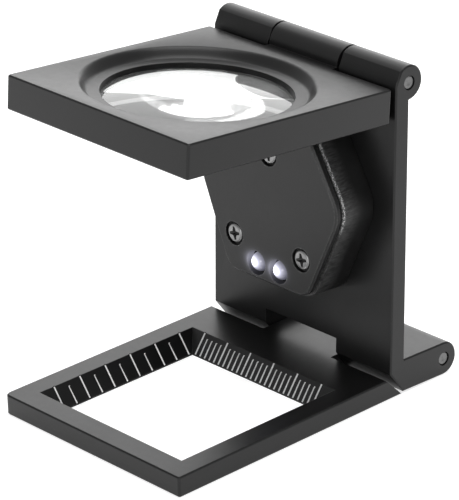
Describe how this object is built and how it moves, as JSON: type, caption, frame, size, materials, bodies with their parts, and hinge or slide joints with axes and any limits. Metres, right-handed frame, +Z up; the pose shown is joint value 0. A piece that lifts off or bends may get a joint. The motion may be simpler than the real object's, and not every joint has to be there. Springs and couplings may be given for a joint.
{
  "type": "folding magnifier",
  "caption": "Folding stand magnifier: a bevelled frame with engraved scales, a hinged upright carrying a battery LED lamp, and a hinged plate holding a round convex lens.",
  "frame": {"origin": "on the underside of the base, under the middle of the whole standing magnifier", "axes": "+X across the width, to the right seen from the open front; -Y the front, where the lens plate reaches; +Z up from the sheet being read"},
  "size_m": [0.0378, 0.0562, 0.0523],
  "materials": {
    "frame_black": "satin black anodised, fine grain, faint wear on the edges",
    "housing_black": "moulded black, fine matt texture",
    "pin_steel": "turned ends, dull",
    "screw_steel": "bright zinc plated, cross recess",
    "lens_glass": "polished clear",
    "led_clear": "clear moulded dome, lit",
    "tinned_lead": "tinned",
    "board_green": "solder resist",
    "resistor_black": "ceramic chip, dark glaze",
    "cell_steel": "nickel plated",
    "contact_brass": "plain spring strip",
    "wire_red": "insulated",
    "wire_black": "insulated",
    "switch_steel": "pressed sheet"
  },
  "bodies": {
    "base": {"base_frame": "frame_black", "base_hinge_pin": "pin_steel"},
    "upright": {"upright_frame": "frame_black", "lens_hinge_pin": "pin_steel", "led_housing": "housing_black", "led_cover": "housing_black", "cover_screw_left": "screw_steel", "cover_screw_right": "screw_steel", "cover_screw_top": "screw_steel", "housing_screw_left": "screw_steel", "housing_screw_right": "screw_steel", "led_left": "led_clear", "led_right": "led_clear", "led_left_lead_outer": "tinned_lead", "led_left_lead_inner": "tinned_lead", "led_right_lead_inner": "tinned_lead", "led_right_lead_outer": "tinned_lead", "circuit_board": "board_green", "resistor": "resistor_black", "coin_cell_rear": "cell_steel", "coin_cell_front": "cell_steel", "battery_contact_rear": "contact_brass", "battery_contact_front": "contact_brass", "wire_switch_board": "wire_red", "wire_switch_battery": "wire_black", "switch_body": "switch_steel"},
    "lens_plate": {"lens_plate": "frame_black", "lens": "lens_glass", "lens_retaining_ring": "housing_black"},
    "slider": {"switch_slider": "housing_black"}
  },
  "joints": [
    {"name": "base_fold", "type": "hinge", "parent": "base", "child": "upright", "pos_m": [0, 0.02555, 0.0026], "axis": [1, 0, 0], "range_deg": [-267.5, 1.83]},
    {"name": "lens_tilt", "type": "hinge", "parent": "upright", "child": "lens_plate", "pos_m": [0, 0.0183, 0.04881], "axis": [1, 0, 0], "range_deg": [-266.5, 3.25]},
    {"name": "lamp_switch", "type": "slide", "parent": "upright", "child": "slider", "axis": [0.5243, 0.0272, 0.8511], "range_m": [0, 0.002]}
  ]
}
